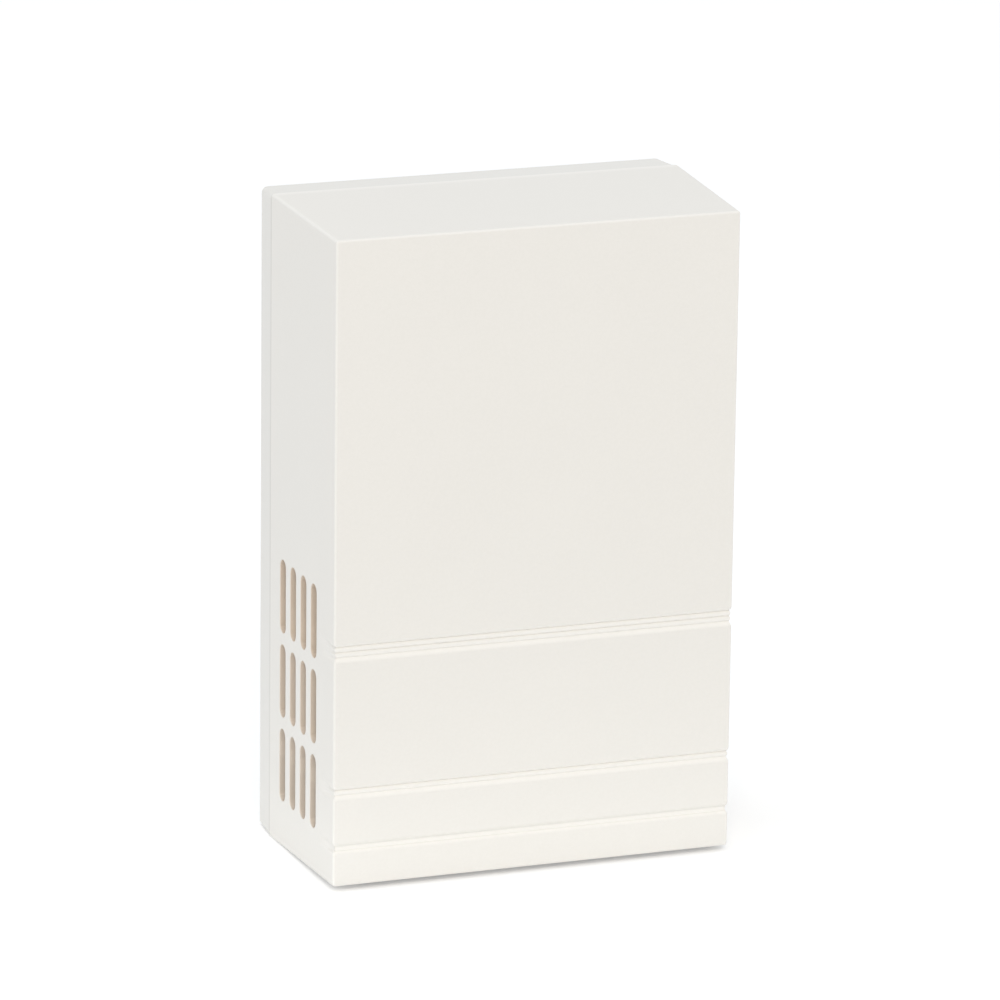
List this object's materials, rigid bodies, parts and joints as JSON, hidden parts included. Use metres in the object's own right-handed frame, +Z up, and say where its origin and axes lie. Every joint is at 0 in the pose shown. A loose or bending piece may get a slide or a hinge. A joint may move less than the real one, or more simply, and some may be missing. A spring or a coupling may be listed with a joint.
{
  "type": "doorbell chime",
  "caption": "Wired two-tone door chime box in ivory plastic with a grooved front, side sound slots, a solenoid striker and steel tone bars.",
  "frame": {"origin": "middle of the base's flat back, on the wall", "axes": "+X to the right as seen from the front, +Y into the wall, +Z up; the front faces -Y"},
  "size_m": [0.0864, 0.0452, 0.134],
  "materials": {
    "cover_plastic": "fine moulded grain, satin",
    "base_plastic": "fine moulded grain, satin",
    "zinc_steel": "zinc plated",
    "natural_nylon": "moulded, slightly waxy",
    "copper": "enamelled",
    "yellow_tape": "glossy film",
    "brass": "drawn",
    "screw_steel": "zinc plated",
    "tinned_pin": "tinned",
    "tone_steel": "bright rolled",
    "grey_rubber": "matte",
    "white_nylon": "moulded",
    "strip_plastic": "moulded, slightly milky",
    "brown_lead": "extruded insulation",
    "blue_lead": "extruded insulation",
    "spring_steel": "drawn wire"
  },
  "bodies": {
    "chassis": {"base_plate": "base_plastic", "solenoid_frame": "zinc_steel", "coil_bobbin": "natural_nylon", "coil_winding": "copper", "coil_tape": "yellow_tape", "guide_sleeve": "brass", "frame_screws": "screw_steel", "bobbin_pins": "tinned_pin", "low_tone_bar": "tone_steel", "high_tone_bar": "tone_steel", "low_bar_grommets": "grey_rubber", "high_bar_grommets": "grey_rubber", "low_bar_pegs": "white_nylon", "high_bar_pegs": "white_nylon", "terminal_block": "strip_plastic", "terminal_inserts": "brass", "terminal_screws": "screw_steel", "terminal_fixing_screw": "screw_steel", "coil_lead_a": "brown_lead", "coil_lead_b": "blue_lead", "return_spring": "spring_steel"},
    "cover": {"front_cover": "cover_plastic"},
    "plunger": {"plunger_core": "tone_steel", "low_striker_tip": "white_nylon", "high_striker_tip": "white_nylon"}
  },
  "joints": [
    {"name": "cover_pull", "type": "slide", "parent": "chassis", "child": "cover", "axis": [0, -1, 0], "range_m": [0, 0.09]},
    {"name": "plunger_strike", "type": "slide", "parent": "chassis", "child": "plunger", "axis": [1, 0, 0], "range_m": [-0.0015, 0.0079], "stiffness_N_per_m": 30, "deforming": ["return_spring"]}
  ]
}
